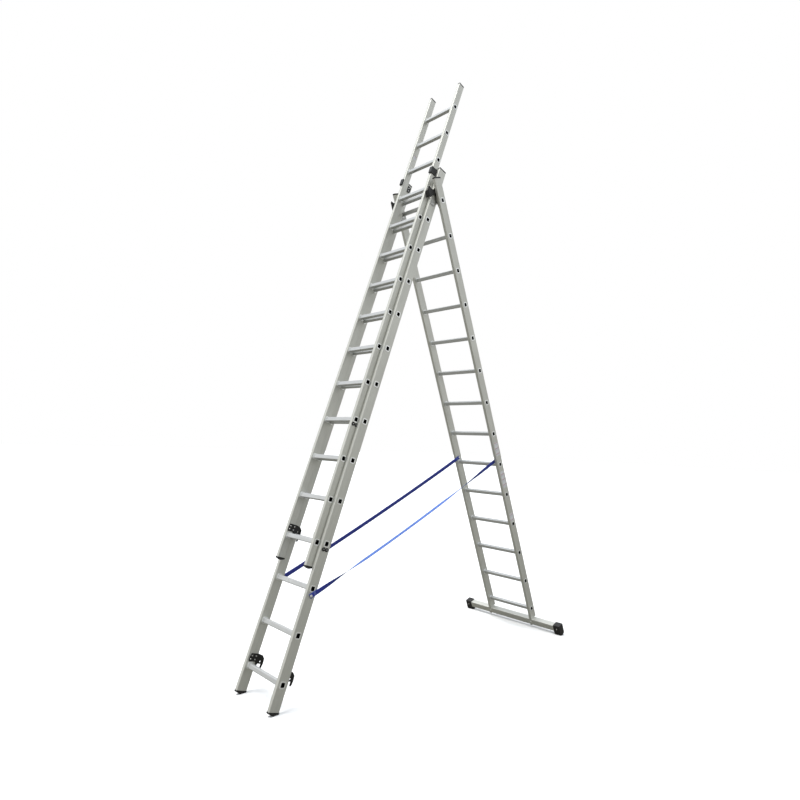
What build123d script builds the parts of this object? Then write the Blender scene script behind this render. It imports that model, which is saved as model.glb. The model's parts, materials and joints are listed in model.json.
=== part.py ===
from build123d import *
import math
import os

# Three-section combination ladder set up as an A-frame with its upper section run out.
# Frame: X across the ladder, +Y towards the rear section, +Z up, the ground at Z = 0.
# Each section is modelled in its own frame first: X across, local y towards the rear,
# local z along the rails, with the axis of its lowest rung at the origin.

# ---- rungs ----
RUNG_COUNT = 14
PITCH = 280.0
RUNG_DEPTH = 28.0
RUNG_HEIGHT = 30.5
RUNG_CORNER = 5.5
RUNG_WALL = 1.5
FLARE = 6.5                # how far the flared rung end stands out round the rung
FLARE_THICK = 1.5
GROOVE_COUNT = 4
GROOVE_WIDTH = 1.8
GROOVE_DEPTH = 0.8
GROOVE_SPACING = 4.4
GROOVE_SHORT = 5.0         # each groove stops this far short of the rail

# ---- rails ----
RAIL_T = 25.0
RAIL_WALL = 1.8
RAIL_CORNER = 4.0
RAIL_INNER_CORNER = 2.2

# width over the rails, rail depth, lower rail end, upper rail end
UPPER = dict(width=361.0, depth=56.0, bottom=-150.0, top=3873.0)
MIDDLE = dict(width=424.0, depth=72.0, bottom=-150.0, top=3833.0)
REAR = dict(width=497.0, depth=74.0, bottom=-150.0, top=3809.0)

# ---- how the sections stand together ----
LEAN_MIDDLE = 17.8         # degrees from the vertical
SECTION_GAP = 54.0         # from the middle section's rung plane to the upper section's
EXTENSION_PITCHES = 3
HOOK_DROP = 5.0            # the upper rungs hang this much below the rungs they hook on
PIVOT_OFFSET = 30.0        # the pivot lies this far behind the middle rung plane
PIVOT_MIDDLE_Z = 3558.3    # and this far up the middle section
PIVOT_REAR_Z = 3642.9      # and this far up the rear section

# ---- end caps and feet ----
CAP_THICK = 12.0
CAP_EDGE = 1.5
CAP_PLUG = 18.0
CAP_PLAY = 0.15
FOOT_TIP = -171.0          # lowest line of the sole, between its two flats
FOOT_FLANGE = 1.0

# ---- rivets ----
RIVET_R = 2.4
RIVET_HEAD_R = 4.5
RIVET_RISE = 1.6
LOW_RIVET_RISE = 1.2       # where another piece passes close by
CUT_PAST = 1.0             # cutters run this far past the faces they open

# ---- hooks ----
HOOK_THICK = 8.0
HOOK_PLAY = 0.8
MIDDLE_HOOK_REACH = 56.0   # from the section's rung plane to the throat's centre
HOOK_FRONT = -23.0         # front edge of the plate, clear of the section in front
HOOK_RIVETS = ((-15.0, 40.0), (-11.0, 61.0), (16.0, 38.0), (19.0, 60.0))
HOOK_WINDOW_R = 6.0        # lightening hole over the throat
HOOK_DIP_R = 6.0           # dip in the top edge, between plate and claw
THROAT_LIP = 0.0           # the plate in front of the throat ends here
MIDDLE_CLAW_TIP = -10.0
UPPER_CLAW_TIP = -29.0

# ---- guides ----
GUIDE_SIDE = 4.5           # side plate of the middle section's guides
GUIDE_LOW = 3763.0
GUIDE_HIGH = 3820.0
REAR_GUIDE_PLATE = 6.5

# ---- hinge ----
PLATE_MIDDLE = 3.0
PLATE_REAR = 4.0
PIN_R = 4.0
PIN_PLAY = 0.05
PIN_HEAD_R = 7.0
PIN_HEAD_THICK = 3.5
PIN_RIM_R = 6.0            # peened end, sunk in a recess in the rear plate
PIN_RIM_THICK = 1.2
PIN_RECESS_R = 6.4
PIN_RECESS_DEEP = 1.8
WASHER_R = 10.0

# ---- straps ----
STRAP_WIDTH = 31.0
STRAP_THICK = 1.6
STRAP_X = 217.2            # inner face of the strap
STRAP_SAG = 12.0
STRAP_MIDDLE_Z = 517.0
STRAP_REAR_Z = 1443.0
STRAP_BOLT_R = 3.0
STRAP_WASHER_R = 9.0
STRAP_WASHER_THICK = 1.5
STRAP_HEX_R = 7.2
STRAP_HEX_THICK = 4.0
STRAP_SPACER_R = 8.0
STRAP_END = 10.0           # webbing past each bolt

# ---- stabiliser ----
BAR_LENGTH = 1074.0
BAR_DEPTH = 50.0
BAR_HEIGHT = 52.0
BAR_TOP = -93.0
BAR_WALL = 2.5
BAR_CORNER = 3.0
BLOCK_WIDTH = 65.0
BLOCK_DEPTH = 56.0
BLOCK_TOP = -85.0
BLOCK_TIP = -183.0
BLOCK_END = 6.0            # closed outer end of each foot block
BAR_RIB_COUNT = 4
BAR_RIB_SPACING = 10.0
BAR_RIB_WIDTH = 2.4
BAR_RIB_DEPTH = 1.0
BAR_BOLT_R = 4.0
BLOCK_SCREW_R = 2.2

# ---- derived ----
BAR_FRONT = -REAR["depth"] / 2 + RAIL_WALL
BAR_MID_Y = BAR_FRONT + BAR_DEPTH / 2
BAR_MID_Z = BAR_TOP - BAR_HEIGHT / 2
OUTER_MIDDLE = MIDDLE["width"] / 2
INNER_MIDDLE = OUTER_MIDDLE - RAIL_T
OUTER_REAR = REAR["width"] / 2
INNER_REAR = OUTER_REAR - RAIL_T
OUTER_UPPER = UPPER["width"] / 2
INNER_UPPER = OUTER_UPPER - RAIL_T


def rear_lean():
    """Lean of the rear section, in degrees, at which both feet rest on the ground."""
    lean = math.radians(LEAN_MIDDLE)
    pivot_height = (PIVOT_MIDDLE_Z - FOOT_TIP) * math.cos(lean) - PIVOT_OFFSET * math.sin(lean)
    rise = PIVOT_REAR_Z - BLOCK_TIP
    across = -PIVOT_OFFSET - BAR_MID_Y
    reach = math.hypot(rise, across)
    return math.degrees(math.acos(pivot_height / reach) + math.atan2(across, rise))


LEAN_REAR = rear_lean()


# ---- shape helpers ----
def yz_face(points, radius=0.0):
    """Closed outline in a section's side view, its corners rounded."""
    face = make_face(Polyline(*points, close=True))
    if radius:
        face = fillet(face.vertices(), radius)
    return face


def along_x(face, x0, x1):
    """Side-view face pushed out from x0 to x1."""
    return Pos(x0, 0, 0) * extrude(Plane.YZ * face, amount=x1 - x0)


def pin(x0, x1, y, z, radius):
    """Round bar across the ladder from x0 to x1."""
    return Pos((x0 + x1) / 2, y, z) * Rot(0, 90, 0) * Cylinder(radius, abs(x1 - x0))


def both_sides(right):
    """A right-hand piece and its mirror image."""
    return right, mirror(right, about=Plane.YZ)


def move(piece, location):
    """Carry one solid, or a list of separate solids that share a node."""
    if isinstance(piece, list):
        return [location * solid for solid in piece]
    return location * piece


# ---- rungs ----
def rung_outline(grow=0.0):
    """Rounded box section square to the rails, grown all round by grow."""
    return RectangleRounded(RUNG_DEPTH + 2 * grow, RUNG_HEIGHT + 2 * grow, RUNG_CORNER + grow)


def make_rung(width):
    """Hollow rung with a ribbed tread, its ends flared over both walls of the rails."""
    outer = width / 2
    inner = outer - RAIL_T
    rung = along_x(rung_outline(), -outer - FLARE_THICK, outer + FLARE_THICK)
    for index in range(GROOVE_COUNT):
        across = (index - (GROOVE_COUNT - 1) / 2) * GROOVE_SPACING
        cutter = Box(2 * (inner - GROOVE_SHORT), GROOVE_WIDTH, 2 * GROOVE_DEPTH)
        rung -= Pos(0, across, RUNG_HEIGHT / 2) * cutter
    for side in (-1, 1):
        for face_x, step in ((outer, FLARE_THICK), (inner, -FLARE_THICK)):
            ring = along_x(rung_outline(FLARE), min(face_x, face_x + step), max(face_x, face_x + step))
            rung += ring if side > 0 else mirror(ring, about=Plane.YZ)
    rung -= along_x(rung_outline(-RUNG_WALL), -outer - 5, outer + 5)
    return rung


def rung_set(width):
    rung = make_rung(width).solid()
    return [Pos(0, 0, index * PITCH) * rung for index in range(RUNG_COUNT)]


# ---- rails ----
def make_rail(section, drills):
    """Right-hand box rail with its rung openings and drilled holes."""
    outer = section["width"] / 2
    length = section["top"] - section["bottom"]
    centre_x = outer - RAIL_T / 2
    skin = extrude(RectangleRounded(RAIL_T, section["depth"], RAIL_CORNER), amount=length)
    core = extrude(
        RectangleRounded(RAIL_T - 2 * RAIL_WALL, section["depth"] - 2 * RAIL_WALL, RAIL_INNER_CORNER),
        amount=length,
    )
    rail = Pos(centre_x, 0, section["bottom"]) * (skin - core)
    window = along_x(rung_outline(), outer - RAIL_T - 1, outer + 1)
    rail -= [Pos(0, 0, index * PITCH) * window for index in range(RUNG_COUNT)]
    if drills:
        rail -= drills
    return rail


def make_top_cap(section):
    """Flat lid with a plug that goes down inside the rail."""
    plug_t = RAIL_T - 2 * RAIL_WALL - 2 * CAP_PLAY
    plug_d = section["depth"] - 2 * RAIL_WALL - 2 * CAP_PLAY
    lid = extrude(RectangleRounded(RAIL_T, section["depth"], RAIL_CORNER), amount=CAP_THICK)
    lid = fillet(lid.faces().sort_by(Axis.Z)[-1].edges(), CAP_EDGE)
    plug = extrude(RectangleRounded(plug_t, plug_d, RAIL_INNER_CORNER), amount=-CAP_PLUG)
    return Pos(section["width"] / 2 - RAIL_T / 2, 0, section["top"]) * (lid + plug)


def sole_outline(centre_y, half, top, tip, lean):
    """Side view of a foot: flat sides, and a sole that rises both ways from its middle."""
    shoulder = tip + half * math.tan(math.radians(lean))
    return yz_face(
        [
            (centre_y - half, top),
            (centre_y + half, top),
            (centre_y + half, shoulder),
            (centre_y, tip),
            (centre_y - half, shoulder),
        ]
    )


def make_foot(section, tip):
    """Foot plug whose sole has two flats, one level at this lean and one at the opposite lean."""
    outer = section["width"] / 2
    half = section["depth"] / 2 + FOOT_FLANGE
    outline = sole_outline(0.0, half, section["bottom"], tip, LEAN_MIDDLE)
    sole = along_x(outline, outer - RAIL_T - FOOT_FLANGE, outer + FOOT_FLANGE)
    sole = fillet(sole.edges().filter_by(Axis.Z), 2.0)
    plug_t = RAIL_T - 2 * RAIL_WALL - 2 * CAP_PLAY
    plug_d = section["depth"] - 2 * RAIL_WALL - 2 * CAP_PLAY
    plug = extrude(RectangleRounded(plug_t, plug_d, RAIL_INNER_CORNER), amount=CAP_PLUG)
    return sole + Pos(outer - RAIL_T / 2, 0, section["bottom"]) * plug


# ---- hooks ----
def make_hook(section, reach, drop, claw_tip):
    """Cast plate on the rail's inner face whose claw drops over a rung of the next section."""
    inner = section["width"] / 2 - RAIL_T
    half = section["depth"] / 2
    left = reach - RUNG_DEPTH / 2 - HOOK_PLAY
    right = reach + RUNG_DEPTH / 2 + HOOK_PLAY
    crown = drop + RUNG_HEIGHT / 2 + HOOK_PLAY
    plate = yz_face(
        [
            (HOOK_FRONT + 2, 25.0),
            (HOOK_FRONT, 50.0),
            (HOOK_FRONT + 6, 74.0),
            (half, 75.0),
            (reach + 10, 68.0),
            (right + 12, 50.0),
            (right + 14, 20.0),
            (right + 8, claw_tip),
            (right - 4, claw_tip),
            (right - 4, THROAT_LIP),
            (left + 4, THROAT_LIP),
            (left - 6, 5.0),
            (half - 8, 27.0),
        ],
        3.0,
    )
    hook = along_x(plate, inner - HOOK_THICK, inner)
    throat = yz_face([(left, -60.0), (left, crown), (right, crown), (right, -60.0)], 4.0)
    hook -= along_x(throat, inner - HOOK_THICK - CUT_PAST, inner + CUT_PAST)
    window_z = crown + 8.0 + HOOK_WINDOW_R
    hook -= pin(inner - HOOK_THICK - CUT_PAST, inner + CUT_PAST, reach + 3, window_z, HOOK_WINDOW_R)
    hook -= pin(inner - HOOK_THICK - CUT_PAST, inner + CUT_PAST, reach - 2, 76.0, HOOK_DIP_R)
    hook -= hook_holes(section)
    return hook


def hook_holes(section):
    inner = section["width"] / 2 - RAIL_T
    x0 = inner - HOOK_THICK - CUT_PAST
    x1 = inner + RAIL_WALL + CUT_PAST
    return [pin(x0, x1, y, z, RIVET_R) for y, z in HOOK_RIVETS]


def dome_rivet(face_x, grip_x, y, z, shank=RIVET_R, head=RIVET_HEAD_R, rise=RIVET_RISE):
    """Rivet with a domed head on face_x and its shank reaching to grip_x."""
    outward = 1 if face_x > grip_x else -1
    top = face_x + outward * rise
    dome = pin(face_x, top, y, z, head)
    rim = dome.edges().filter_by(GeomType.CIRCLE).sort_by(Axis.X)[-1 if outward > 0 else 0]
    return fillet(rim, rise * 0.8) + pin(grip_x, face_x, y, z, shank)


def hook_rivets(section):
    inner = section["width"] / 2 - RAIL_T
    rivets = [dome_rivet(inner - HOOK_THICK, inner + RAIL_WALL, y, z) for y, z in HOOK_RIVETS]
    return rivets + [mirror(rivet, about=Plane.YZ) for rivet in rivets]


# ---- limit stops ----
STOP_Z = 804.0
STOP_MID_Y = 1.0
STOP_SPREAD = 12.5         # from the stop's middle to the centre of each ring
STOP_R = 13.0
STOP_THICK = 3.5
STOP_RIVET_R = 2.0
STOP_RIVET_HEAD_R = 3.4
STOP_RIVETS = ((STOP_MID_Y - STOP_SPREAD, STOP_Z), (STOP_MID_Y + STOP_SPREAD, STOP_Z))


def make_stop(section):
    """Double-ring buffer across the rail's outer face."""
    outer = section["width"] / 2
    rings = Pos(STOP_MID_Y, STOP_Z) * Rectangle(2 * STOP_SPREAD, STOP_R)
    for y, z in STOP_RIVETS:
        rings += Pos(y, z) * Circle(STOP_R)
    stop = along_x(rings, outer, outer + STOP_THICK)
    stop = fillet(stop.faces().sort_by(Axis.X)[-1].edges(), 1.0)
    return stop - stop_holes(section)


def stop_holes(section):
    outer = section["width"] / 2
    return [pin(outer - RAIL_WALL - 1, outer + STOP_THICK + 1, y, z, STOP_RIVET_R) for y, z in STOP_RIVETS]


def stop_rivets(section):
    outer = section["width"] / 2
    rivets = [
        dome_rivet(
            outer + STOP_THICK, outer - RAIL_WALL, y, z, STOP_RIVET_R, STOP_RIVET_HEAD_R, LOW_RIVET_RISE
        )
        for y, z in STOP_RIVETS
    ]
    return rivets + [mirror(rivet, about=Plane.YZ) for rivet in rivets]


# ---- guides at the top of the middle section, round the upper section's rails ----
MIDDLE_GUIDE_RIVETS = ((8.0, GUIDE_LOW + 15), (8.0, GUIDE_HIGH - 15))


def make_middle_guide():
    front = -SECTION_GAP - UPPER["depth"] / 2
    side = yz_face(
        [(front - 11, GUIDE_LOW), (front - 11, GUIDE_HIGH), (18, GUIDE_HIGH), (27, GUIDE_HIGH - 12),
         (27, GUIDE_LOW + 12), (18, GUIDE_LOW)],
        4.0,
    )
    guide = along_x(side, INNER_MIDDLE - GUIDE_SIDE, INNER_MIDDLE)
    flange = yz_face(
        [
            (front - 11, GUIDE_LOW),
            (front - 11, GUIDE_HIGH),
            (front - 2, GUIDE_HIGH),
            (front - 2, GUIDE_LOW),
        ],
        2.0,
    )
    guide += along_x(flange, INNER_MIDDLE - 30, INNER_MIDDLE)
    return guide - middle_guide_holes()


def middle_guide_holes():
    return [
        pin(INNER_MIDDLE - GUIDE_SIDE - 1, INNER_MIDDLE + RAIL_WALL + 1, y, z, RIVET_R)
        for y, z in MIDDLE_GUIDE_RIVETS
    ]


def middle_guide_rivets():
    rivets = [
        dome_rivet(INNER_MIDDLE - GUIDE_SIDE, INNER_MIDDLE + RAIL_WALL, y, z)
        for y, z in MIDDLE_GUIDE_RIVETS
    ]
    return rivets + [mirror(rivet, about=Plane.YZ) for rivet in rivets]


# ---- guides at the top of the rear section, round the middle section's rails when closed ----
REAR_GUIDE_RIVETS = ((-22.0, 3722.0), (-6.0, 3708.0))
REAR_GUIDE_FRONT = -105.0
REAR_GUIDE_BACK = -98.0     # rear face of the flange across the front
REAR_GUIDE_END = 26.0


def make_rear_guide():
    """Spool-shaped side plate, a flange across the front and a short lip behind it."""
    outline = [
        Line((REAR_GUIDE_FRONT, 3680), (REAR_GUIDE_FRONT, 3744)),
        Line((REAR_GUIDE_FRONT, 3744), (-96, 3758)),
        ThreePointArc((-96, 3758), (-42, 3734), (REAR_GUIDE_END - 12, 3758)),
        Line((REAR_GUIDE_END - 12, 3758), (REAR_GUIDE_END, 3750)),
        Line((REAR_GUIDE_END, 3750), (REAR_GUIDE_END, 3684)),
        Line((REAR_GUIDE_END, 3684), (REAR_GUIDE_END - 14, 3676)),
        ThreePointArc((REAR_GUIDE_END - 14, 3676), (-46, 3692), (-100, 3676)),
        Line((-100, 3676), (REAR_GUIDE_FRONT, 3680)),
    ]
    guide = along_x(make_face(outline), INNER_REAR - REAR_GUIDE_PLATE, INNER_REAR)
    flange = yz_face(
        [
            (REAR_GUIDE_FRONT, 3682),
            (REAR_GUIDE_FRONT, 3736),
            (REAR_GUIDE_BACK, 3736),
            (REAR_GUIDE_BACK, 3682),
        ],
        3.0,
    )
    lip_x = INNER_MIDDLE - 4.2
    guide += along_x(flange, lip_x, INNER_REAR)
    lip = yz_face(
        [(REAR_GUIDE_FRONT + 2, 3684), (REAR_GUIDE_FRONT + 2, 3734), (-81, 3728), (-81, 3690)],
        3.0,
    )
    guide += along_x(lip, lip_x, lip_x + 3.6)
    return guide - rear_guide_holes()


def rear_guide_holes():
    return [
        pin(INNER_REAR - REAR_GUIDE_PLATE - 1, INNER_REAR + RAIL_WALL + 1, y, z, RIVET_R)
        for y, z in REAR_GUIDE_RIVETS
    ]


def rear_guide_rivets():
    rivets = [
        dome_rivet(INNER_REAR - REAR_GUIDE_PLATE, INNER_REAR + RAIL_WALL, y, z, rise=LOW_RIVET_RISE)
        for y, z in REAR_GUIDE_RIVETS
    ]
    return rivets + [mirror(rivet, about=Plane.YZ) for rivet in rivets]


# ---- hinge ----
MIDDLE_PLATE_RIVETS = ((-10.0, 3504.0), (-12.0, 3588.0), (8.0, 3512.0))
REAR_PLATE_RIVETS = ((-14.0, 3590.0), (6.0, 3584.0), (22.0, 3600.0))
PIN_END = INNER_REAR - 0.3


def make_middle_plate():
    """Steel plate on the middle rail's outer face that carries the pivot pin."""
    body = yz_face(
        [(-22, 3494), (-22, 3596), (-12, 3602), (12, 3602), (33, 3576), (33, 3540), (14, 3494)], 4.0
    )
    eye = Pos(PIVOT_OFFSET, PIVOT_MIDDLE_Z) * Circle(13)
    plate = along_x(body + eye, OUTER_MIDDLE, OUTER_MIDDLE + PLATE_MIDDLE)
    plate -= pin(OUTER_MIDDLE - 1, OUTER_MIDDLE + 5, PIVOT_OFFSET, PIVOT_MIDDLE_Z, PIN_R)
    return plate - middle_plate_holes()


def middle_plate_holes():
    return [pin(OUTER_MIDDLE - 3, OUTER_MIDDLE + 5, y, z, RIVET_R) for y, z in MIDDLE_PLATE_RIVETS]


def middle_plate_rivets():
    rivets = [
        dome_rivet(OUTER_MIDDLE + PLATE_MIDDLE, OUTER_MIDDLE - RAIL_WALL, y, z, rise=LOW_RIVET_RISE)
        for y, z in MIDDLE_PLATE_RIVETS
    ]
    return rivets + [mirror(rivet, about=Plane.YZ) for rivet in rivets]


def make_rear_plate():
    """Steel plate on the rear rail's inner face; it turns on the pivot pin."""
    body = yz_face(
        [
            (-41, 3668),
            (27, 3668),
            (31, 3660),
            (31, 3586),
            (20, 3572),
            (-18, 3572),
            (-32, 3592),
            (-43, 3640),
        ],
        4.0,
    )
    eye = Pos(-PIVOT_OFFSET, PIVOT_REAR_Z) * Circle(14)
    window = Pos(0, (RUNG_COUNT - 1) * PITCH) * rung_outline(FLARE + 1.0)
    plate = along_x(body + eye - window, INNER_REAR - PLATE_REAR, INNER_REAR)
    plate -= pin(INNER_REAR - 6, INNER_REAR + 1, -PIVOT_OFFSET, PIVOT_REAR_Z, PIN_R + PIN_PLAY)
    plate -= pin(INNER_REAR - PIN_RECESS_DEEP, INNER_REAR + 1, -PIVOT_OFFSET, PIVOT_REAR_Z, PIN_RECESS_R)
    return plate - rear_plate_holes()


def rear_plate_holes():
    return [pin(INNER_REAR - 6, INNER_REAR + RAIL_WALL + 1, y, z, RIVET_R) for y, z in REAR_PLATE_RIVETS]


def rear_plate_rivets():
    rivets = [
        dome_rivet(INNER_REAR - PLATE_REAR, INNER_REAR + RAIL_WALL, y, z, rise=LOW_RIVET_RISE)
        for y, z in REAR_PLATE_RIVETS
    ]
    return rivets + [mirror(rivet, about=Plane.YZ) for rivet in rivets]


def make_hinge_pin():
    """Shouldered pin through the middle rail, peened over inside the rear plate."""
    y = PIVOT_OFFSET
    z = PIVOT_MIDDLE_Z
    head = pin(INNER_MIDDLE - PIN_HEAD_THICK, INNER_MIDDLE, y, z, PIN_HEAD_R)
    head = fillet(head.edges().filter_by(GeomType.CIRCLE).sort_by(Axis.X)[0], 2.0)
    shank = pin(INNER_MIDDLE, PIN_END, y, z, PIN_R)
    rim = pin(PIN_END - PIN_RIM_THICK, PIN_END, y, z, PIN_RIM_R)
    return head + shank + rim


def make_hinge_washer():
    x0 = OUTER_MIDDLE + PLATE_MIDDLE
    x1 = INNER_REAR - PLATE_REAR - 0.3
    ring = pin(x0, x1, PIVOT_OFFSET, PIVOT_MIDDLE_Z, WASHER_R)
    return ring - pin(x0 - 1, x1 + 1, PIVOT_OFFSET, PIVOT_MIDDLE_Z, PIN_R)


# ---- strap anchors ----
SLOT_LOW = STRAP_X - 0.2
SLOT_HIGH = STRAP_X + STRAP_THICK + 0.2


def middle_strap_bolt():
    washer_face = SLOT_HIGH + STRAP_WASHER_THICK
    washer = pin(SLOT_HIGH, washer_face, 0, STRAP_MIDDLE_Z, STRAP_WASHER_R)
    hexagon = Pos(0, STRAP_MIDDLE_Z) * RegularPolygon(STRAP_HEX_R, 6)
    head = along_x(hexagon, washer_face, washer_face + STRAP_HEX_THICK)
    return washer + head + pin(OUTER_MIDDLE - RAIL_WALL, SLOT_HIGH, 0, STRAP_MIDDLE_Z, STRAP_BOLT_R)


def middle_strap_spacer():
    ring = pin(OUTER_MIDDLE, SLOT_LOW, 0, STRAP_MIDDLE_Z, STRAP_SPACER_R)
    return ring - pin(OUTER_MIDDLE - CUT_PAST, SLOT_LOW + CUT_PAST, 0, STRAP_MIDDLE_Z, STRAP_BOLT_R)


def rear_strap_bolt():
    washer_face = SLOT_LOW - STRAP_WASHER_THICK
    washer = pin(washer_face, SLOT_LOW, 0, STRAP_REAR_Z, STRAP_WASHER_R)
    hexagon = Pos(0, STRAP_REAR_Z) * RegularPolygon(STRAP_HEX_R, 6)
    head = along_x(hexagon, washer_face - STRAP_HEX_THICK, washer_face)
    return washer + head + pin(SLOT_LOW, INNER_REAR + RAIL_WALL, 0, STRAP_REAR_Z, STRAP_BOLT_R)


def rear_strap_spacer():
    ring = pin(SLOT_HIGH, INNER_REAR, 0, STRAP_REAR_Z, STRAP_SPACER_R)
    return ring - pin(SLOT_HIGH - CUT_PAST, INNER_REAR + CUT_PAST, 0, STRAP_REAR_Z, STRAP_BOLT_R)


# ---- stabiliser ----
def bar_envelope(length):
    section = Pos(BAR_MID_Y, BAR_MID_Z) * RectangleRounded(BAR_DEPTH, BAR_HEIGHT, BAR_CORNER)
    return along_x(section, -length / 2, length / 2)


def bar_bolt_holes():
    x = OUTER_REAR - RAIL_T / 2
    hole = Pos(x, BAR_MID_Y, BAR_MID_Z) * Rot(90, 0, 0) * Cylinder(BAR_BOLT_R, BAR_DEPTH + 20)
    return list(both_sides(hole))


def make_bar():
    """Hollow cross bar with ribs rolled into its front face."""
    hollow = Pos(BAR_MID_Y, BAR_MID_Z) * RectangleRounded(
        BAR_DEPTH - 2 * BAR_WALL, BAR_HEIGHT - 2 * BAR_WALL, 1.5
    )
    bar = bar_envelope(BAR_LENGTH) - along_x(hollow, -BAR_LENGTH, BAR_LENGTH)
    for index in range(BAR_RIB_COUNT):
        z = BAR_MID_Z + (index - (BAR_RIB_COUNT - 1) / 2) * BAR_RIB_SPACING
        bar -= Pos(0, BAR_FRONT, z) * Box(BAR_LENGTH + 2, 2 * BAR_RIB_DEPTH, BAR_RIB_WIDTH)
    bar -= bar_bolt_holes()
    return bar - block_screw_holes()


def make_bar_bolt(side):
    x = side * (OUTER_REAR - RAIL_T / 2)
    tongue = -REAR["depth"] / 2
    shank_length = BAR_DEPTH + RAIL_WALL
    shank = Pos(x, tongue + shank_length / 2, BAR_MID_Z) * Rot(90, 0, 0) * Cylinder(BAR_BOLT_R, shank_length)
    head = Pos(x, tongue - 2.75, BAR_MID_Z) * Rot(90, 0, 0) * Cylinder(6.5, 5.5)
    nut = Pos(x, BAR_FRONT + BAR_DEPTH + 3.25, BAR_MID_Z) * Rot(90, 0, 0)
    return shank + head + nut * extrude(RegularPolygon(7.5, 6), amount=3.25, both=True)


def block_screw_holes():
    x = (BAR_LENGTH / 2 + BLOCK_END) - BLOCK_WIDTH / 2
    hole = Pos(x, BAR_FRONT - 1, BAR_MID_Z) * Rot(90, 0, 0) * Cylinder(BLOCK_SCREW_R, 14)
    return list(both_sides(hole))


def make_block_screw(side):
    x = side * ((BAR_LENGTH / 2 + BLOCK_END) - BLOCK_WIDTH / 2)
    front = BAR_MID_Y - BLOCK_DEPTH / 2
    shank = Pos(x, (front + BAR_FRONT + BAR_WALL) / 2, BAR_MID_Z) * Rot(90, 0, 0)
    shank = shank * Cylinder(BLOCK_SCREW_R, BAR_FRONT + BAR_WALL - front)
    head = Pos(x, front - 1, BAR_MID_Z) * Rot(90, 0, 0) * Cylinder(5.0, 2.0)
    return shank + head


def make_block():
    """Foot block sleeved over the bar's right end, its sole flat on the ground at this lean."""
    outer = BAR_LENGTH / 2 + BLOCK_END
    outline = sole_outline(BAR_MID_Y, BLOCK_DEPTH / 2, BLOCK_TOP, BLOCK_TIP, LEAN_REAR)
    block = along_x(outline, outer - BLOCK_WIDTH, outer)
    block = fillet(block.faces().sort_by(Axis.Z)[-1].edges(), 3.0)
    block -= bar_envelope(BAR_LENGTH)
    return block - block_screw_holes()


def notch_rear_rail(rail):
    """Cut the rail away round the bar; its front wall runs on down as a tongue."""
    cutter = Box(RAIL_T + 4, REAR["depth"], 200)
    x = OUTER_REAR - RAIL_T / 2
    rail -= Pos(x, BAR_FRONT + REAR["depth"] / 2, BAR_TOP - 100) * cutter
    return rail - bar_bolt_holes()


# ---- labels ----
REAR_LABELS = ((1540.0, 120.0), (1262.0, 150.0), (905.0, 70.0))
UPPER_LABEL = (3232.0, 40.0)


def flat_label(x0, x1, z, height, width):
    return along_x(Pos(0, z) * RectangleRounded(width, height, 3), x0, x1)


# ---- placing each section in the ladder's frame ----
def place_middle():
    return Rot(-LEAN_MIDDLE, 0, 0)


def place_upper():
    raise_by = EXTENSION_PITCHES * PITCH - HOOK_DROP
    return place_middle() * Pos(0, -SECTION_GAP, raise_by)


def place_rear():
    pivot = (place_middle() * Pos(0, PIVOT_OFFSET, PIVOT_MIDDLE_Z)).position
    return Pos(pivot) * Rot(LEAN_REAR, 0, 0) * Pos(0, PIVOT_OFFSET, -PIVOT_REAR_Z)


def make_strap():
    """Webbing on the right side, from the middle rail's bolt to the rear rail's, a little slack."""
    low = (place_middle() * Pos(0, 0, STRAP_MIDDLE_Z)).position
    high = (place_rear() * Pos(0, 0, STRAP_REAR_Z)).position
    start = Vector(low.Y, low.Z)
    end = Vector(high.Y, high.Z)
    along = (end - start).normalized()
    normal = Vector(-along.Y, along.X)
    first = start - along * STRAP_END
    last = end + along * STRAP_END
    middle = (start + end) * 0.5 - normal * STRAP_SAG
    half = normal * (STRAP_WIDTH / 2)
    outline = [
        ThreePointArc(first + half, middle + half, last + half),
        Line(last + half, last - half),
        ThreePointArc(last - half, middle - half, first - half),
        Line(first - half, first + half),
    ]
    strap = along_x(make_face(outline), STRAP_X, STRAP_X + STRAP_THICK)
    for point in (start, end):
        strap -= pin(STRAP_X - 1, STRAP_X + 3, point.X, point.Y, 3.1)
    return strap, (end - start).length


# ---- the pieces of each section, in that section's frame ----
def add_pair(pieces, name, right):
    right_piece, left_piece = both_sides(right)
    pieces[name + "_right"] = right_piece
    pieces[name + "_left"] = left_piece


def middle_pieces():
    pieces = {}
    drills = hook_holes(MIDDLE) + stop_holes(MIDDLE) + middle_guide_holes() + middle_plate_holes()
    drills.append(pin(INNER_MIDDLE - 1, OUTER_MIDDLE + 1, PIVOT_OFFSET, PIVOT_MIDDLE_Z, PIN_R))
    drills.append(pin(OUTER_MIDDLE - 3, OUTER_MIDDLE + 1, 0, STRAP_MIDDLE_Z, STRAP_BOLT_R))
    add_pair(pieces, "middle_rail", make_rail(MIDDLE, drills))
    pieces["middle_rungs"] = rung_set(MIDDLE["width"])
    add_pair(pieces, "middle_top_cap", make_top_cap(MIDDLE))
    add_pair(pieces, "middle_foot", make_foot(MIDDLE, FOOT_TIP))
    add_pair(pieces, "middle_hook", make_hook(MIDDLE, MIDDLE_HOOK_REACH, 0.0, MIDDLE_CLAW_TIP))
    pieces["middle_hook_rivets"] = hook_rivets(MIDDLE)
    add_pair(pieces, "middle_stop", make_stop(MIDDLE))
    pieces["middle_stop_rivets"] = stop_rivets(MIDDLE)
    add_pair(pieces, "middle_guide", make_middle_guide())
    pieces["middle_guide_rivets"] = middle_guide_rivets()
    add_pair(pieces, "middle_hinge_plate", make_middle_plate())
    pieces["middle_hinge_rivets"] = middle_plate_rivets()
    add_pair(pieces, "hinge_pin", make_hinge_pin())
    pieces["hinge_washers"] = list(both_sides(make_hinge_washer()))
    pieces["middle_strap_bolts"] = list(both_sides(middle_strap_bolt()))
    pieces["middle_strap_spacers"] = list(both_sides(middle_strap_spacer()))
    return pieces


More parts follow.
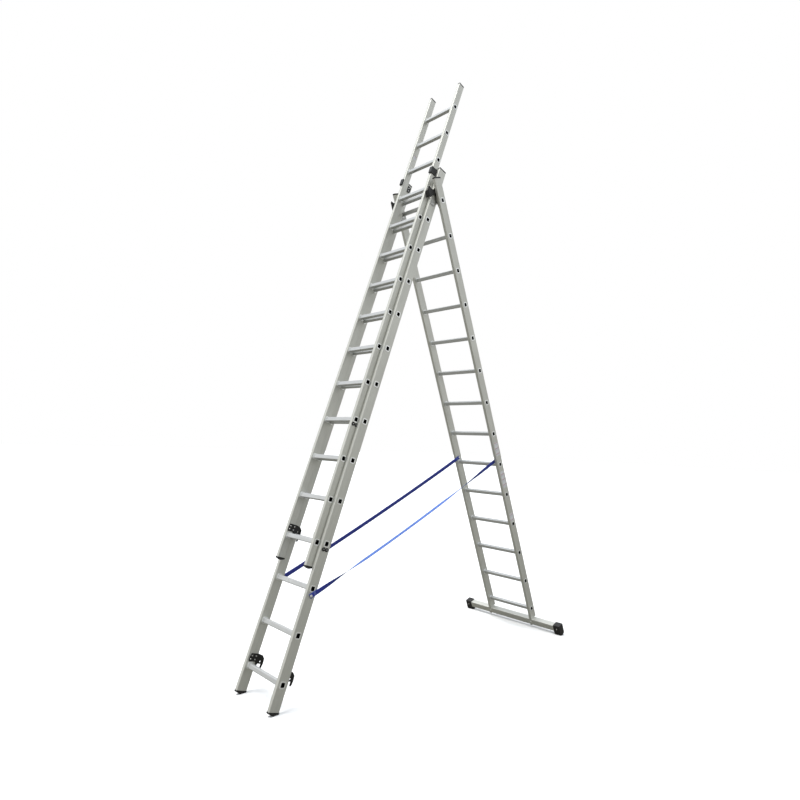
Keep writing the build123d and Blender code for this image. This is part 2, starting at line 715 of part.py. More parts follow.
def upper_pieces():
    pieces = {}
    drills = hook_holes(UPPER) + stop_holes(UPPER)
    add_pair(pieces, "upper_rail", make_rail(UPPER, drills))
    pieces["upper_rungs"] = rung_set(UPPER["width"])
    add_pair(pieces, "upper_top_cap", make_top_cap(UPPER))
    add_pair(pieces, "upper_foot", make_foot(UPPER, FOOT_TIP + 3))
    add_pair(pieces, "upper_hook", make_hook(UPPER, SECTION_GAP, HOOK_DROP, UPPER_CLAW_TIP))
    pieces["upper_hook_rivets"] = hook_rivets(UPPER)
    add_pair(pieces, "upper_stop", make_stop(UPPER))
    pieces["upper_stop_rivets"] = stop_rivets(UPPER)
    label_z, label_height = UPPER_LABEL
    pieces["upper_label"] = flat_label(-INNER_UPPER, -INNER_UPPER + 0.4, label_z, label_height, 30)
    return pieces


def rear_pieces():
    pieces = {}
    drills = rear_guide_holes() + rear_plate_holes()
    drills.append(pin(INNER_REAR - 1, INNER_REAR + 3, 0, STRAP_REAR_Z, STRAP_BOLT_R))
    add_pair(pieces, "rear_rail", notch_rear_rail(make_rail(REAR, drills)))
    pieces["rear_rungs"] = rung_set(REAR["width"])
    add_pair(pieces, "rear_top_cap", make_top_cap(REAR))
    add_pair(pieces, "rear_guide", make_rear_guide())
    pieces["rear_guide_rivets"] = rear_guide_rivets()
    add_pair(pieces, "rear_hinge_plate", make_rear_plate())
    pieces["rear_hinge_rivets"] = rear_plate_rivets()
    pieces["rear_strap_bolts"] = list(both_sides(rear_strap_bolt()))
    pieces["rear_strap_spacers"] = list(both_sides(rear_strap_spacer()))
    pieces["stabiliser_bar"] = make_bar()
    add_pair(pieces, "stabiliser_foot", make_block())
    pieces["stabiliser_bolts"] = [make_bar_bolt(side) for side in (-1, 1)]
    pieces["stabiliser_foot_screws"] = [make_block_screw(side) for side in (-1, 1)]
    pieces["rear_labels"] = [
        flat_label(OUTER_REAR, OUTER_REAR + 0.4, z, height, 46) for z, height in REAR_LABELS
    ]
    return pieces


def main():
    """Build every piece, stand the ladder on the ground about the origin and write the files."""
    placed = {}
    for pieces, location in (
        (middle_pieces(), place_middle()),
        (upper_pieces(), place_upper()),
        (rear_pieces(), place_rear()),
    ):
        for name, piece in pieces.items():
            placed[name] = move(piece, location)
    strap, strap_span = make_strap()
    add_pair(placed, "strap", strap)

    boxes = []
    for piece in placed.values():
        boxes += [solid.bounding_box() for solid in (piece if isinstance(piece, list) else [piece])]
    low_y = min(box.min.Y for box in boxes)
    high_y = max(box.max.Y for box in boxes)
    low_z = min(box.min.Z for box in boxes)
    to_origin = Pos(0, -(low_y + high_y) / 2, -low_z)

    os.makedirs("parts", exist_ok=True)
    for name, piece in placed.items():
        moved = move(piece, to_origin)
        if isinstance(moved, list):
            moved = Compound(children=moved)
        export_step(moved, "parts/" + name + ".step")

    pivot = (to_origin * place_middle() * Pos(0, PIVOT_OFFSET, PIVOT_MIDDLE_Z)).position
    print("rear lean", round(LEAN_REAR, 4), "opening", round(LEAN_REAR + LEAN_MIDDLE, 4))
    print("pivot", [round(value, 3) for value in pivot], "strap between bolts", round(strap_span, 1))
    for name, place, y, z in (
        ("middle foot", place_middle(), 0.0, FOOT_TIP),
        ("rear foot", place_rear(), BAR_MID_Y, BLOCK_TIP),
        ("middle rung 1", place_middle(), 0.0, 0.0),
        ("middle rung 14", place_middle(), 0.0, 13 * PITCH),
        ("upper rung 1", place_upper(), 0.0, 0.0),
        ("rear rung 1", place_rear(), 0.0, 0.0),
        ("rear rung 14", place_rear(), 0.0, 13 * PITCH),
    ):
        print(name, [round(value, 3) for value in (to_origin * place * Pos(0, y, z)).position])


if __name__ == "__main__":
    main()
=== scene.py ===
import json
import math
import bpy
from mathutils import Matrix, Vector


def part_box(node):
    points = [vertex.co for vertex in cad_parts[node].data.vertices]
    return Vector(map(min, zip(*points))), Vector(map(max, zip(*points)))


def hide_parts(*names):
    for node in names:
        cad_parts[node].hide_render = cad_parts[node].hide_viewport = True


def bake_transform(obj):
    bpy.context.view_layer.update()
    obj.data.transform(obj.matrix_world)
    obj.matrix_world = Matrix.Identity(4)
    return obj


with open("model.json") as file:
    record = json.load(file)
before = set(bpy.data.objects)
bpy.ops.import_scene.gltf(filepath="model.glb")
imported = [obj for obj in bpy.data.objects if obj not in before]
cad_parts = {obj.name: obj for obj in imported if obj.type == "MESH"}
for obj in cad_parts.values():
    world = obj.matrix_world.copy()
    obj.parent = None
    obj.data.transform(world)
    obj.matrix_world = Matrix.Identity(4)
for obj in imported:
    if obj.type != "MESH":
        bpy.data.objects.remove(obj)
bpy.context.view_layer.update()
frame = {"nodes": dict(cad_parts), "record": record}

SCENE = bpy.context.scene

# ---- the ladder's frame ----
LEAN_FRONT = math.radians(17.8)       # middle and upper sections, from the vertical
LEAN_REAR = math.radians(21.93)       # rear section, leaning the other way

# ---- rungs ----
RUNG_PITCH = 0.280
RUNG_FLARE_REACH = 0.0284             # rung ends, from their tips to just past the inner flare
RUNG_FLAT_HALF_Y = 0.0085             # half of each flat side, between the rounded corners
RUNG_FLAT_HALF_Z = 0.00975
RUNG_BORE_CORNER = 0.0043             # corner radius of an outline that runs inside the rung's wall, bounding the painted shade in its bore

# ---- camera ----
CAMERA_PLACE = (3.314, -3.184, 1.633)
CAMERA_TARGET = (0.153, 0.131, 2.063)
CAMERA_ROLL = math.radians(2.22)
CAMERA_SENSOR = 36.0                  # mm
CAMERA_LENS = 25.58                   # mm
CAMERA_SHIFT = (-0.0589, -0.0122)
CAMERA_NEAR = 0.05
CAMERA_FAR = 300

# ---- light and floor ----
SUN_FROM = (-0.15, -0.36, 0.92)
SUN_POWER = 2.5
SUN_SPREAD = math.radians(30.0)
SUN_COLOUR = (1.0, 0.985, 0.96)
SKY_LOW = (0.86, 0.86, 0.84)
SKY_HIGH = (0.84, 0.90, 0.98)
FLOOR_SEEN = (0.93, 0.93, 0.93)
FLOOR_BOUNCE = (0.14, 0.135, 0.11)    # what the floor gives back to the ladder: a duller, warmer grey
FLOOR_HALF_SIDE = 60.0

# ---- spreader straps ----
STRAP_WIDTH = 0.031
STRAP_THICK = 0.0020
STRAP_OVERRUN = 0.008                 # webbing past each bolt, under its washer
STRAP_HELD = 0.012                    # share of the length kept flat at each bolt
STRAP_TURNED_BY = 0.235               # share of the length by which the webbing has turned over
STRAP_TURNS_BACK = 0.38               # share of the length over which it turns back
STRAP_SAG = {"right": 0.028, "left": 0.018}
STRAP_TWIST = {"right": math.radians(93.0), "left": math.radians(8.0)}
STRAP_STEPS = 220                     # rings of points along the webbing
STRAP_COLUMNS = 8                     # strips across each face
STRAP_SELVEDGE_POWER = 14             # high, so that the section is flat with tightly rounded edges

# ---- weave and stitches: lengths in metres, counts per metre, waves in radians per metre ----
TWILL_FOLD = 0.0045                   # width of each diagonal before it turns back
YARN_WAVE = 2600.0
RIB_WAVE = 4200.0
SELVEDGE_FROM = 0.0143                # from the centre line out to the darker edge
STITCH_FROM = 0.030                   # the bar of stitches, from the webbing's cut end
STITCH_TO = 0.046
STITCH_HALF_WIDTH = 0.0125
STITCH_ROWS = 250.0
STITCH_ROW_SHARE = 0.45
STITCH_DASHES = 420.0
STITCH_DASH_SHARE = 0.7

# ---- labels: counts per metre, and the share of each repeat that is printed ----
LABEL_ROWS = 150.0
LABEL_ROW_SHARE = 0.42
LABEL_CELLS = 260.0
LABEL_EMPTY_CELLS = 0.35
LABEL_PANELS = 21.0
LABEL_BAND_TO = 0.10
LABEL_PANEL_FROM = 0.62

# ---- grain: features per metre, along x, across the section, and along its rails ----
RAIL_LINES = (1300, 1300, 5)
RUNG_LINES = (5, 1500, 1500)
BAR_LINES = (5, 1300, 1300)
ALLOY_CLOUDS = (9, 9, 3)
ALLOY_MARKS = (120, 120, 40)
STEEL_CRYSTALS = (260, 260, 260)
STEEL_GRAIN = (900, 900, 60)
FOOT_RIBS = 36.0
NOISE_LOW = 0.3                       # nearly all of a noise texture's values lie between these two
NOISE_HIGH = 0.7
ALLOY_WEAR_AND_HIGHLIGHT_EDGE = 0.0022              # how far in from an edge the wear and the painted highlight reach, m
MOULDED_WORN_EDGE = 0.0015

# ---- colours ----
RAIL = (0.66, 0.66, 0.615)
RUNG = (0.66, 0.67, 0.67)
# flared rung ends: burnished metal, and partly a painted highlight
BURNISHED_AND_HIGHLIGHT = (0.95, 0.96, 0.95)
# painted shade for the inside of the rung bores
BORE_SHADE = (0.008, 0.009, 0.008)
PLATE = (0.40, 0.40, 0.38)
ZINC = (0.90, 0.90, 0.88)
RIVET = (0.80, 0.80, 0.79)
BLACK = (0.006, 0.006, 0.0065)
RUBBER = (0.014, 0.013, 0.013)
GUIDE_PLATE = (0.011, 0.013, 0.013)
DUST = (0.045, 0.043, 0.038)
SCUFF = (0.05, 0.05, 0.05)
BARE_CASTING = (0.30, 0.30, 0.30)
FILM = (0.80, 0.80, 0.82)
FILM_FADED = (0.66, 0.67, 0.70)
INK = (0.25, 0.27, 0.33)
UPPER_BAND = (0.55, 0.05, 0.04)
REAR_BAND = (0.48, 0.20, 0.24)
NAVY = (0.021, 0.034, 0.30)
# the webbing's back face: painted light, a paler blue for the side turned up to the sun
NAVY_PAINTED_LIT = (0.11, 0.22, 0.68)
THREAD = (0.30, 0.36, 0.62)
SHEEN = (0.35, 0.6, 1.0, 1.0)


# ================= helpers =================
def shade(colour, factor):
    return tuple(min(1.0, channel * factor) for channel in colour)


def colour_sockets(sockets):
    return [socket for socket in sockets if socket.type == "RGBA"]


def add_object(name, data):
    made = bpy.data.objects.new(name, data)
    SCENE.collection.objects.link(made)
    return made


class Shader:
    """A Principled material whose node tree is built up call by call.

    turn is how far the piece's section leans, so that z in the material runs along its rails.
    """

    def __init__(self, name, turn=0.0):
        self.turn = turn
        self.material = bpy.data.materials.new(name)
        self.material.use_nodes = True
        self.tree = self.material.node_tree
        self.tree.nodes.clear()
        out = self.tree.nodes.new("ShaderNodeOutputMaterial")
        self.bsdf = self.tree.nodes.new("ShaderNodeBsdfPrincipled")
        self.link(self.bsdf.outputs["BSDF"], out.inputs["Surface"])

    def link(self, source, target):
        self.tree.links.new(source, target)

    def node(self, kind, **settings):
        made = self.tree.nodes.new(kind)
        for key, value in settings.items():
            setattr(made, key, value)
        return made

    def feed(self, target, value):
        if isinstance(value, bpy.types.NodeSocket):
            self.link(value, target)
        else:
            target.default_value = value

    def constant(self, **sockets):
        for key, value in sockets.items():
            self.bsdf.inputs[key.replace("_", " ")].default_value = value

    def drive(self, **sockets):
        for key, source in sockets.items():
            self.link(source, self.bsdf.inputs[key.replace("_", " ")])

    def coords(self, scale=(1, 1, 1)):
        """Coordinates that stay with the piece, turned about X and then scaled."""
        coordinate = self.node("ShaderNodeTexCoord")
        turned = self.node("ShaderNodeMapping")
        turned.inputs["Rotation"].default_value = (self.turn, 0, 0)
        scaled = self.node("ShaderNodeMapping")
        scaled.inputs["Scale"].default_value = scale
        self.link(coordinate.outputs["Object"], turned.inputs["Vector"])
        self.link(turned.outputs["Vector"], scaled.inputs["Vector"])
        return scaled.outputs["Vector"]

    def parts(self, vector):
        """The x, y and z of a vector."""
        split = self.node("ShaderNodeSeparateXYZ")
        self.link(vector, split.inputs["Vector"])
        return split.outputs["X"], split.outputs["Y"], split.outputs["Z"]

    def noise(self, per_metre, detail=3.0, roughness=0.5):
        """Noise with this many features per metre: one number, or one for each axis."""
        scale = per_metre if isinstance(per_metre, tuple) else (per_metre,) * 3
        made = self.node("ShaderNodeTexNoise")
        self.link(self.coords(scale), made.inputs["Vector"])
        made.inputs["Scale"].default_value = 1.0
        made.inputs["Detail"].default_value = detail
        made.inputs["Roughness"].default_value = roughness
        return made.outputs["Fac"]

    def math(self, operation, a, b=0.0):
        made = self.node("ShaderNodeMath", operation=operation)
        self.feed(made.inputs[0], a)
        self.feed(made.inputs[1], b)
        return made.outputs[0]

    def times(self, *values):
        """The product of two or more values."""
        product = values[0]
        for value in values[1:]:
            product = self.math("MULTIPLY", product, value)
        return product

    def repeat(self, value, per_metre):
        """Where value lies within its repeat, from 0 to 1."""
        return self.math("FRACT", self.times(value, per_metre))

    def past(self, value, limit):
        """How far value lies beyond limit on either side of zero, and 0 within it."""
        return self.math("MAXIMUM", self.math("SUBTRACT", self.math("ABSOLUTE", value), limit), 0.0)

    def span(self, value, low, high, to_low=0.0, to_high=1.0):
        made = self.node("ShaderNodeMapRange")
        self.link(value, made.inputs["Value"])
        for key, number in zip(("From Min", "From Max", "To Min", "To Max"), (low, high, to_low, to_high)):
            made.inputs[key].default_value = number
        return made.outputs["Result"]

    def vary(self, noise, low=0.0, high=1.0):
        """Follow a noise between low and high."""
        return self.span(noise, NOISE_LOW, NOISE_HIGH, low, high)

    def mix(self, factor, a, b):
        made = self.node("ShaderNodeMix", data_type="RGBA")
        self.feed(made.inputs["Factor"], factor)
        for socket, value in zip(colour_sockets(made.inputs), (a, b)):
            self.feed(socket, (*value, 1) if isinstance(value, tuple) else value)
        return colour_sockets(made.outputs)[0]

    def stain(self, tone, noise, start, full, most, colour):
        """Lay colour over tone where noise is past start, growing to a share of most at full."""
        return self.mix(self.span(noise, start, full, 0.0, most), tone, colour)

    def edge_wear_and_highlight(self, tone, reach, share, colour):
        """Lay colour over tone along sharp outside edges, where handling polishes or scuffs them; where
        the colour is brighter, it also paints a highlight along the edge.
        """
        soft = self.node("ShaderNodeBevel", samples=4)
        soft.inputs["Radius"].default_value = reach
        plain = self.node("ShaderNodeNewGeometry")
        dot = self.node("ShaderNodeVectorMath", operation="DOT_PRODUCT")
        self.link(soft.outputs["Normal"], dot.inputs[0])
        self.link(plain.outputs["Normal"], dot.inputs[1])
        return self.mix(self.times(self.span(dot.outputs["Value"], 0.98, 0.80), share), tone, colour)

    def bump(self, height, strength, distance):
        made = self.node("ShaderNodeBump")
        made.inputs["Strength"].default_value = strength
        made.inputs["Distance"].default_value = distance
        self.link(height, made.inputs["Height"])
        self.link(made.outputs["Normal"], self.bsdf.inputs["Normal"])


# ================= materials =================
def aluminium(name, turn, colour, lines, rough, rungs=None):
    """Drawn alloy: die lines along the extrusion, cloudy dulling and small handling marks."""
    s = Shader(name, turn)
    fine = s.noise(lines, 4.0, 0.65)
    bands = s.noise(tuple(min(value, value * 0.1 + 1.0) for value in lines))
    clouds = s.noise(ALLOY_CLOUDS, 5.0, 0.6)
    marks = s.noise(ALLOY_MARKS, 2.0, 0.7)
    tone = s.mix(s.vary(fine), shade(colour, 0.93), shade(colour, 1.06))
    tone = s.stain(tone, bands, 0.35, 0.7, 0.5, shade(colour, 0.88))
    tone = s.stain(tone, clouds, 0.42, 0.75, 0.4, shade(colour, 0.80))
    tone = s.stain(tone, marks, 0.68, 0.76, 0.5, shade(colour, 0.70))
    # Brighter rail and rung edges: handling polish, and partly a painted highlight on corners that catch
    # the light.
    tone = s.edge_wear_and_highlight(tone, ALLOY_WEAR_AND_HIGHLIGHT_EDGE, 0.6, shade(colour, 1.28))
    if rungs:
        tone = rung_ends(s, tone, rungs)
    gloss = s.math("ADD", s.vary(clouds, *rough), s.vary(fine, -0.04, 0.05))
    s.drive(Base_Color=tone, Roughness=gloss)
    s.constant(Metallic=0.6)
    s.bump(s.math("ADD", fine, s.times(marks, 0.4)), 0.12, 0.0002)
    return s.material


def rung_ends(s, tone, node):
    """Bright worked metal, partly a painted highlight, where a rung is flared over its rails, and painted
    shade inside its bore.
    """
    low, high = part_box(node)
    middle = (low + high) / 2
    axis_y = middle.y * math.cos(s.turn) - middle.z * math.sin(s.turn)
    axis_z = middle.y * math.sin(s.turn) + middle.z * math.cos(s.turn)
    x, y, z = s.parts(s.coords())
    flared = s.math("GREATER_THAN", s.math("ABSOLUTE", x), high.x - RUNG_FLARE_REACH)
    # Bright flared rung ends: burnished metal, and partly a painted highlight where the rounded flare
    # catches the light.
    tone = s.mix(s.times(flared, 0.9), tone, BURNISHED_AND_HIGHLIGHT)
    pitches = s.math("FRACT", s.math("DIVIDE", s.math("SUBTRACT", z, axis_z), RUNG_PITCH))
    off_z = s.times(s.math("SUBTRACT", pitches, 0.5), RUNG_PITCH)
    past_y = s.past(s.math("SUBTRACT", y, axis_y), RUNG_FLAT_HALF_Y)
    past_z = s.past(off_z, RUNG_FLAT_HALF_Z)
    squares = s.math("ADD", s.math("POWER", past_y, 2.0), s.math("POWER", past_z, 2.0))
    # Painted shade: the bore inside each rung is coloured near-black, as if in shadow.
    return s.mix(s.math("LESS_THAN", squares, RUNG_BORE_CORNER ** 2), tone, BORE_SHADE)


def steel(name, turn, colour, rough=(0.3, 0.5), metallic=0.95):
    """Zinc-plated steel: a faint crystalline mottle and rolled grain."""
    s = Shader(name, turn)
    mottle = s.node("ShaderNodeTexVoronoi")
    s.link(s.coords(STEEL_CRYSTALS), mottle.inputs["Vector"])
    mottle.inputs["Scale"].default_value = 1.0
    stain = s.noise(40, 4.0)
    tone = s.mix(s.span(mottle.outputs["Distance"], 0.0, 0.9), shade(colour, 1.05), shade(colour, 0.88))
    tone = s.stain(tone, stain, 0.5, 0.8, 0.5, shade(colour, 0.66))
    s.drive(Base_Color=tone, Roughness=s.vary(stain, *rough))
    s.constant(Metallic=metallic)
    s.bump(s.noise(STEEL_GRAIN), 0.2, 0.0002)
    return s.material


def moulded(name, turn, colour, rough, grain, dust, ribs=0.0):
    """Moulded plastic or rubber: spark-eroded grain, dust in the low spots, worn shine on top."""
    s = Shader(name, turn)
    fine = s.noise(grain, 2.0)
    cloud = s.noise(30, 5.0, 0.6)
    tone = s.mix(s.vary(fine), shade(colour, 0.8), shade(colour, 1.25))
    tone = s.stain(tone, cloud, 0.5, 0.8, dust, DUST)
    tone = s.edge_wear_and_highlight(tone, MOULDED_WORN_EDGE, 0.35, SCUFF)
    s.drive(Base_Color=tone, Roughness=s.vary(cloud, *rough))
    height = fine
    if ribs:
        wave = s.node("ShaderNodeTexWave", bands_direction="Y")
        s.link(s.coords(), wave.inputs["Vector"])
        wave.inputs["Scale"].default_value = ribs
        height = s.math("ADD", fine, s.times(wave.outputs["Fac"], 3.0))
    s.bump(height, 0.35, 0.0003)
    return s.material


def painted(name, turn, colour):
    """Powder coat: orange peel, with the casting showing through in a few chips."""
    s = Shader(name, turn)
    peel = s.noise(420, 2.0)
    chipped = s.span(s.noise(150, 3.0, 0.7), 0.72, 0.74)
    cloud = s.noise(25, 4.0)
    tone = s.mix(s.span(cloud, 0.35, 0.75), shade(colour, 0.85), shade(colour, 1.5))
    tone = s.mix(chipped, tone, BARE_CASTING)
    tone = s.edge_wear_and_highlight(tone, MOULDED_WORN_EDGE, 0.3, SCUFF)
    s.drive(Base_Color=tone, Roughness=s.vary(cloud, 0.30, 0.45))
    s.bump(s.math("SUBTRACT", peel, chipped), 0.3, 0.0003)
    return s.material


def label_film(name, turn, band_colour):
    """Pale printed film: plain ruled bars and one coloured band, nothing that reads as writing."""
    s = Shader(name, turn)
    _, across, along = s.parts(s.coords())
    cell = s.node("ShaderNodeTexWhiteNoise", noise_dimensions="2D")
    step = s.node("ShaderNodeCombineXYZ")
    s.link(s.math("FLOOR", s.times(along, LABEL_ROWS)), step.inputs["X"])
    s.link(s.math("FLOOR", s.times(across, LABEL_CELLS)), step.inputs["Y"])
    s.link(step.outputs["Vector"], cell.inputs["Vector"])
    ruled = s.math("LESS_THAN", s.repeat(along, LABEL_ROWS), LABEL_ROW_SHARE)
    ink = s.times(ruled, s.math("GREATER_THAN", cell.outputs["Value"], LABEL_EMPTY_CELLS))
    block = s.repeat(along, LABEL_PANELS)
    band = s.math("LESS_THAN", block, LABEL_BAND_TO)
    panel = s.math("GREATER_THAN", block, LABEL_PANEL_FROM)
    fade = s.noise(60)
    tone = s.mix(s.span(fade, 0.3, 0.8), FILM, FILM_FADED)
    tone = s.mix(s.times(ink, panel, 0.55), tone, INK)
    tone = s.mix(s.times(band, 0.8), tone, band_colour)
    s.drive(Base_Color=tone, Roughness=s.vary(fade, 0.22, 0.4))
    s.bump(fade, 0.1, 0.0002)
    return s.material


def weave_height(s, along, across):
    """Height of the woven face, about -1 to 1: diagonal yarns with ribs across them."""
    folded = s.math("PINGPONG", across, TWILL_FOLD)
    yarn = s.math("SINE", s.times(s.math("ADD", along, folded), YARN_WAVE))
    rib = s.math("SINE", s.times(across, RIB_WAVE))
    return s.times(yarn, s.math("ADD", s.times(rib, 0.5), 0.7))


def stitch_mask(s, across, from_end):
    """1 on the threads of the stitched bar near each end of the webbing, and 0 elsewhere."""
    after = s.math("GREATER_THAN", from_end, STITCH_FROM)
    before = s.math("LESS_THAN", from_end, STITCH_TO)
    row = s.math("LESS_THAN", s.repeat(from_end, STITCH_ROWS), STITCH_ROW_SHARE)
    dash = s.math("LESS_THAN", s.repeat(across, STITCH_DASHES), STITCH_DASH_SHARE)
    inside = s.math("LESS_THAN", s.math("ABSOLUTE", across), STITCH_HALF_WIDTH)
    return s.times(after, before, row, dash, inside)


def webbing(name, colour, painted_lit_colour):
    """Woven strap: diagonal twill, darker selvedges, a bar of stitches near each end, and a paler back
    face that paints the light on the side the twist turns up.
    """
    s = Shader(name)
    cloth = s.node("ShaderNodeAttribute", attribute_name="cloth")
    painted_lit_side = s.node("ShaderNodeAttribute", attribute_name="reverse")
    along, across, from_end = s.parts(cloth.outputs["Vector"])
    weave = weave_height(s, along, across)
    stitch = stitch_mask(s, across, from_end)
    wear = s.noise(26, 5.0, 0.65)
    face = s.mix(s.span(weave, -1.0, 1.0), shade(colour, 0.62), shade(colour, 1.35))
    face = s.stain(face, wear, 0.45, 0.8, 0.4, shade(colour, 1.7))
    back = s.mix(s.span(weave, -1.0, 1.0), shade(painted_lit_colour, 0.8), shade(painted_lit_colour, 1.2))
    back = s.stain(back, wear, 0.45, 0.8, 0.3, shade(painted_lit_colour, 1.3))
    # Painted light: the face that the twist turns up gets a paler blue, standing for sunlight on it.
    tone = s.mix(s.span(painted_lit_side.outputs["Fac"], 0.4, 0.6), face, back)
    selvedge = s.math("GREATER_THAN", s.math("ABSOLUTE", across), SELVEDGE_FROM)
    tone = s.mix(s.times(selvedge, 0.3), tone, shade(colour, 0.7))
    tone = s.mix(s.times(stitch, 0.85), tone, THREAD)
    s.drive(Base_Color=tone, Roughness=s.vary(wear, 0.55, 0.8))
    s.constant(Sheen_Weight=1.0, Sheen_Roughness=0.28, Sheen_Tint=SHEEN)
    s.bump(s.math("ADD", weave, s.times(stitch, 2.0)), 0.5, 0.0004)
    return s.material


def finish_for(slot, section, turn):
    """The material of one slot on one section. Numbers in pairs are the smoothest and the roughest."""
    name = "_" + section
    if slot == "rail_aluminium":
        return aluminium("rail" + name, turn, RAIL, RAIL_LINES, (0.42, 0.54))
    if slot == "rung_aluminium":
        rungs = section.split("_")[0] + "_rungs"
        return aluminium("rung" + name, turn, RUNG, RUNG_LINES, (0.26, 0.42), rungs)
    if slot == "bar_aluminium":
        return aluminium("bar" + name, turn, RAIL, BAR_LINES, (0.36, 0.50))
    if slot == "plate_steel":
        return steel("plate" + name, turn, PLATE)
    if slot == "zinc_steel":
        return steel("zinc" + name, turn, ZINC, (0.2, 0.34), metallic=0.5)
    if slot == "rivet_steel":
        return steel("rivet" + name, turn, RIVET, (0.18, 0.3))
    if slot == "hook_paint":
        return painted("hook" + name, turn, BLACK)
    if slot == "foot_rubber":
        return moulded("foot" + name, turn, RUBBER, (0.5, 0.75), grain=500, dust=0.22, ribs=FOOT_RIBS)
    if slot == "stop_rubber":
        return moulded("stop" + name, turn, BLACK, (0.4, 0.6), grain=500, dust=0.08)
    if slot == "guide_plate":
        return moulded("guide" + name, turn, GUIDE_PLATE, (0.35, 0.55), grain=600, dust=0.1)
    if slot in ("guide_plastic", "cap_plastic", "washer_plastic"):
        return moulded(slot + name, turn, BLACK, (0.34, 0.55), grain=600, dust=0.12)
    if slot == "label_film":
        return label_film("label" + name, turn, UPPER_BAND if section == "upper_section" else REAR_BAND)
    return None


def dress_nodes():
    """Give every CAD node its finish, by the slot the record names and the section it is in."""
    made = {}
    slots = {entry["node"]: entry["material_slot"] for entry in frame["record"]["subparts"]}
    for body, nodes in frame["record"]["behaviour"]["bodies"].items():
        turn = -LEAN_REAR if body == "rear_section" else LEAN_FRONT
        for name in nodes:
            key = (slots[name], body)
            if key not in made:
                made[key] = finish_for(slots[name], body, turn)
            if made[key] is None:         # the straps, which the webbing below stands in for
                continue
            node = frame["nodes"][name]
            node.data.materials.clear()
            node.data.materials.append(made[key])


# ================= straps =================
def middle_of(node, side):
    """Centre of the right or left solid of a two-solid node."""
    sign = 1 if side == "right" else -1
    points = [v.co for v in frame["nodes"][node].data.vertices if v.co.x * sign > 0]
    low = Vector([min(p[i] for p in points) for i in range(3)])
    high = Vector([max(p[i] for p in points) for i in range(3)])
    return (low + high) / 2


def strap_ends(side):
    """Centres of the strap's two bolts, moved across to the middle of the webbing."""
    low = middle_of("middle_strap_bolts", side)
    high = middle_of("rear_strap_bolts", side)
    box_low, box_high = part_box("strap_" + side)
    low.x = high.x = (box_low.x + box_high.x) / 2
    return low, high


def ease(value):
    """0 to 1, starting and stopping gently."""
    value = max(0.0, min(1.0, value))
    return value * value * (3 - 2 * value)


def strap_twist(share, side):
    """How far the webbing has turned over at this share of its length: flat at both bolts."""
    out = ease((share - STRAP_HELD) / STRAP_TURNED_BY)
    back = ease((1.0 - STRAP_HELD - share) / STRAP_TURNS_BACK)
    return STRAP_TWIST[side] * min(out, back)


def webbing_section():
    """Cross-section of the webbing as (across, through) points: flat, with rounded selvedges."""
    ring = []
    for index in range(STRAP_COLUMNS + 1):
        share = index / STRAP_COLUMNS * 2 - 1
        through = STRAP_THICK / 2 * math.sqrt(1 - abs(share) ** STRAP_SELVEDGE_POWER)
        ring.append((share * STRAP_WIDTH / 2, through))
    return ring + [(across, -through) for across, through in reversed(ring[1:-1])]


def strap_points(side, low, high, ring):
    """Points of the webbing from low to high, each one's place on the cloth, and 1 on its back face, which
    turns up and is painted as lit.
    """
    along = (high - low).normalized()
    outward = Vector((1, 0, 0))
    up = outward.cross(along).normalized()
    if up.z < 0:
        up = -up
    span = (high - low).length
    total = span + 2 * STRAP_OVERRUN
    points = []
    cloth = []
    reverse = []
    for step in range(STRAP_STEPS + 1):
        share = step / STRAP_STEPS
        distance = share * total - STRAP_OVERRUN
        between = max(0.0, min(1.0, distance / span))
        drop = 4 * between * (1 - between) * STRAP_SAG[side]
        centre = low + along * distance - Vector((0, 0, 1)) * drop
        turn = strap_twist(share, side)
        normal = outward * math.cos(turn) - up * math.sin(turn)
        across = up * math.cos(turn) + outward * math.sin(turn)
        from_end = min(share, 1 - share) * total
        for sideways, through in ring:
            points.append(tuple(centre + across * sideways + normal * through))
            cloth.append((share * total, sideways, from_end))
            reverse.append(1.0 if through < 0 else 0.0)
    return points, cloth, reverse


def tube_faces(steps, count):
    """Quads between successive rings of count points, and a face over each end."""
    faces = []
    for step in range(steps):
        for index in range(count):
            after = (index + 1) % count
            a = step * count
            b = a + count
            faces.append((a + index, a + after, b + after, b + index))
    faces.append(tuple(reversed(range(count))))
    faces.append(tuple(range(steps * count, steps * count + count)))
    return faces


def make_strap(side, material):
    """Flat webbing from the middle rail's bolt to the rear rail's, hanging a little slack."""
    low, high = strap_ends(side)
    ring = webbing_section()
    points, cloth, reverse = strap_points(side, low, high, ring)
    mesh = bpy.data.meshes.new("strap_webbing_" + side)
    mesh.from_pydata(points, [], tube_faces(STRAP_STEPS, len(ring)))
    place = mesh.attributes.new("cloth", "FLOAT_VECTOR", "POINT")
    place.data.foreach_set("vector", [value for point in cloth for value in point])
    faced = mesh.attributes.new("reverse", "FLOAT", "POINT")
    faced.data.foreach_set("value", reverse)
    for polygon in mesh.polygons:
        polygon.use_smooth = len(polygon.vertices) == 4
    mesh.materials.append(material)
    strap = add_object("strap_webbing_" + side, mesh)
    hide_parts("strap_" + side)
    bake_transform(strap)


# ================= floor, light, camera =================
def make_floor():
    """Pale studio floor, darker to every ray but the camera's, so that undersides stay in shade."""
    s = Shader("floor")
    rays = s.node("ShaderNodeLightPath")
    seen = s.mix(s.noise(3, 4.0), shade(FLOOR_SEEN, 0.99), FLOOR_SEEN)
    s.drive(Base_Color=s.mix(rays.outputs["Is Camera Ray"], FLOOR_BOUNCE, seen))
    s.constant(Roughness=0.95)
    side = FLOOR_HALF_SIDE
    corners = [(-side, -side, 0), (side, -side, 0), (side, side, 0), (-side, side, 0)]
    mesh = bpy.data.meshes.new("floor")
    mesh.from_pydata(corners, [], [(0, 1, 2, 3)])
    mesh.materials.append(s.material)
    add_object("floor", mesh)


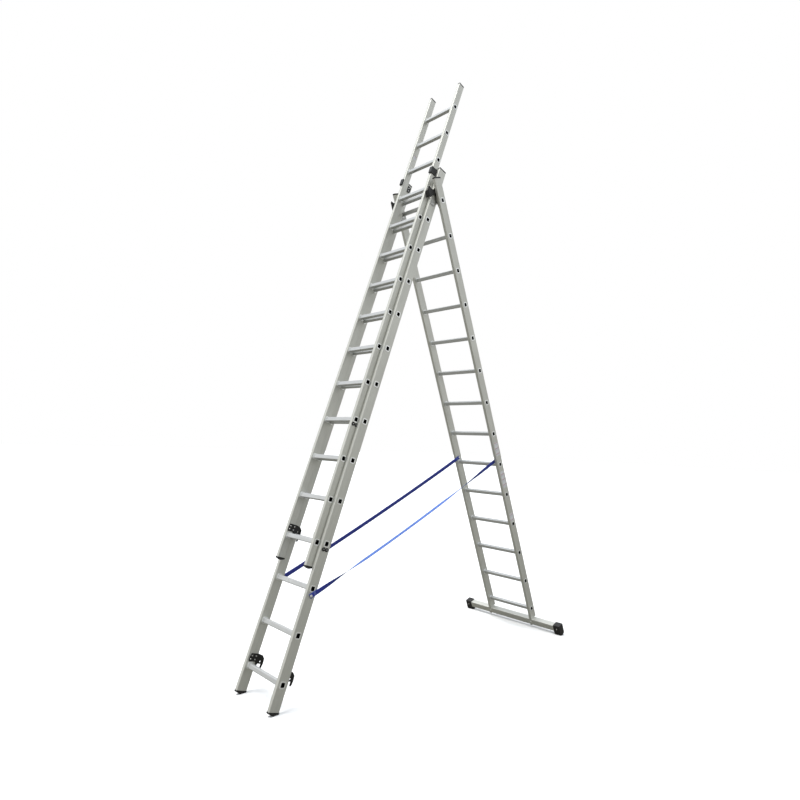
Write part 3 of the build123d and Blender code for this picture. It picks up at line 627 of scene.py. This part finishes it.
def make_sun():
    """One broad, soft sun from high on the front left."""
    lamp = bpy.data.lights.new("sun", "SUN")
    lamp.energy = SUN_POWER
    lamp.angle = SUN_SPREAD
    lamp.color = SUN_COLOUR
    sun = add_object("sun", lamp)
    sun.rotation_mode = "QUATERNION"
    sun.rotation_quaternion = Vector(SUN_FROM).to_track_quat("Z", "Y")


def make_world():
    """White behind the ladder for the camera, and a soft overcast dome for its light."""
    world = bpy.data.worlds.new("studio")
    SCENE.world = world
    world.use_nodes = True
    tree = world.node_tree
    tree.nodes.clear()
    out = tree.nodes.new("ShaderNodeOutputWorld")
    seen = tree.nodes.new("ShaderNodeBackground")
    seen.inputs["Color"].default_value = (1, 1, 1, 1)
    dome = tree.nodes.new("ShaderNodeBackground")
    coordinate = tree.nodes.new("ShaderNodeTexCoord")
    split = tree.nodes.new("ShaderNodeSeparateXYZ")
    tint = tree.nodes.new("ShaderNodeMix")
    tint.data_type = "RGBA"
    for socket, colour in zip(colour_sockets(tint.inputs), (SKY_LOW, SKY_HIGH)):
        socket.default_value = (*colour, 1)
    rays = tree.nodes.new("ShaderNodeLightPath")
    choose = tree.nodes.new("ShaderNodeMixShader")
    for source, target in (
        (coordinate.outputs["Generated"], split.inputs["Vector"]),
        (split.outputs["Z"], tint.inputs["Factor"]),
        (colour_sockets(tint.outputs)[0], dome.inputs["Color"]),
        (rays.outputs["Is Camera Ray"], choose.inputs["Fac"]),
        (dome.outputs["Background"], choose.inputs[1]),
        (seen.outputs["Background"], choose.inputs[2]),
        (choose.outputs["Shader"], out.inputs["Surface"]),
    ):
        tree.links.new(source, target)


def make_camera():
    """The photograph's view: from the front right, about head height, with a slight roll."""
    camera = bpy.data.cameras.new("camera")
    camera.sensor_width = CAMERA_SENSOR
    camera.lens = CAMERA_LENS
    camera.shift_x, camera.shift_y = CAMERA_SHIFT
    camera.clip_start = CAMERA_NEAR
    camera.clip_end = CAMERA_FAR
    forward = (Vector(CAMERA_TARGET) - Vector(CAMERA_PLACE)).normalized()
    level_right = forward.cross(Vector((0, 0, 1))).normalized()
    level_up = level_right.cross(forward)
    right = level_right * math.cos(CAMERA_ROLL) + level_up * math.sin(CAMERA_ROLL)
    up = right.cross(forward)
    turn = Matrix((right, up, -forward)).transposed()
    made = add_object("camera", camera)
    made.matrix_world = Matrix.Translation(CAMERA_PLACE) @ turn.to_4x4()
    SCENE.camera = made


make_camera()
make_world()
make_floor()
make_sun()
SCENE.view_settings.view_transform = "Standard"
SCENE.view_settings.look = "None"

dress_nodes()
strap_material = webbing("strap_webbing", NAVY, NAVY_PAINTED_LIT)
for strap_side in ("right", "left"):
    make_strap(strap_side, strap_material)
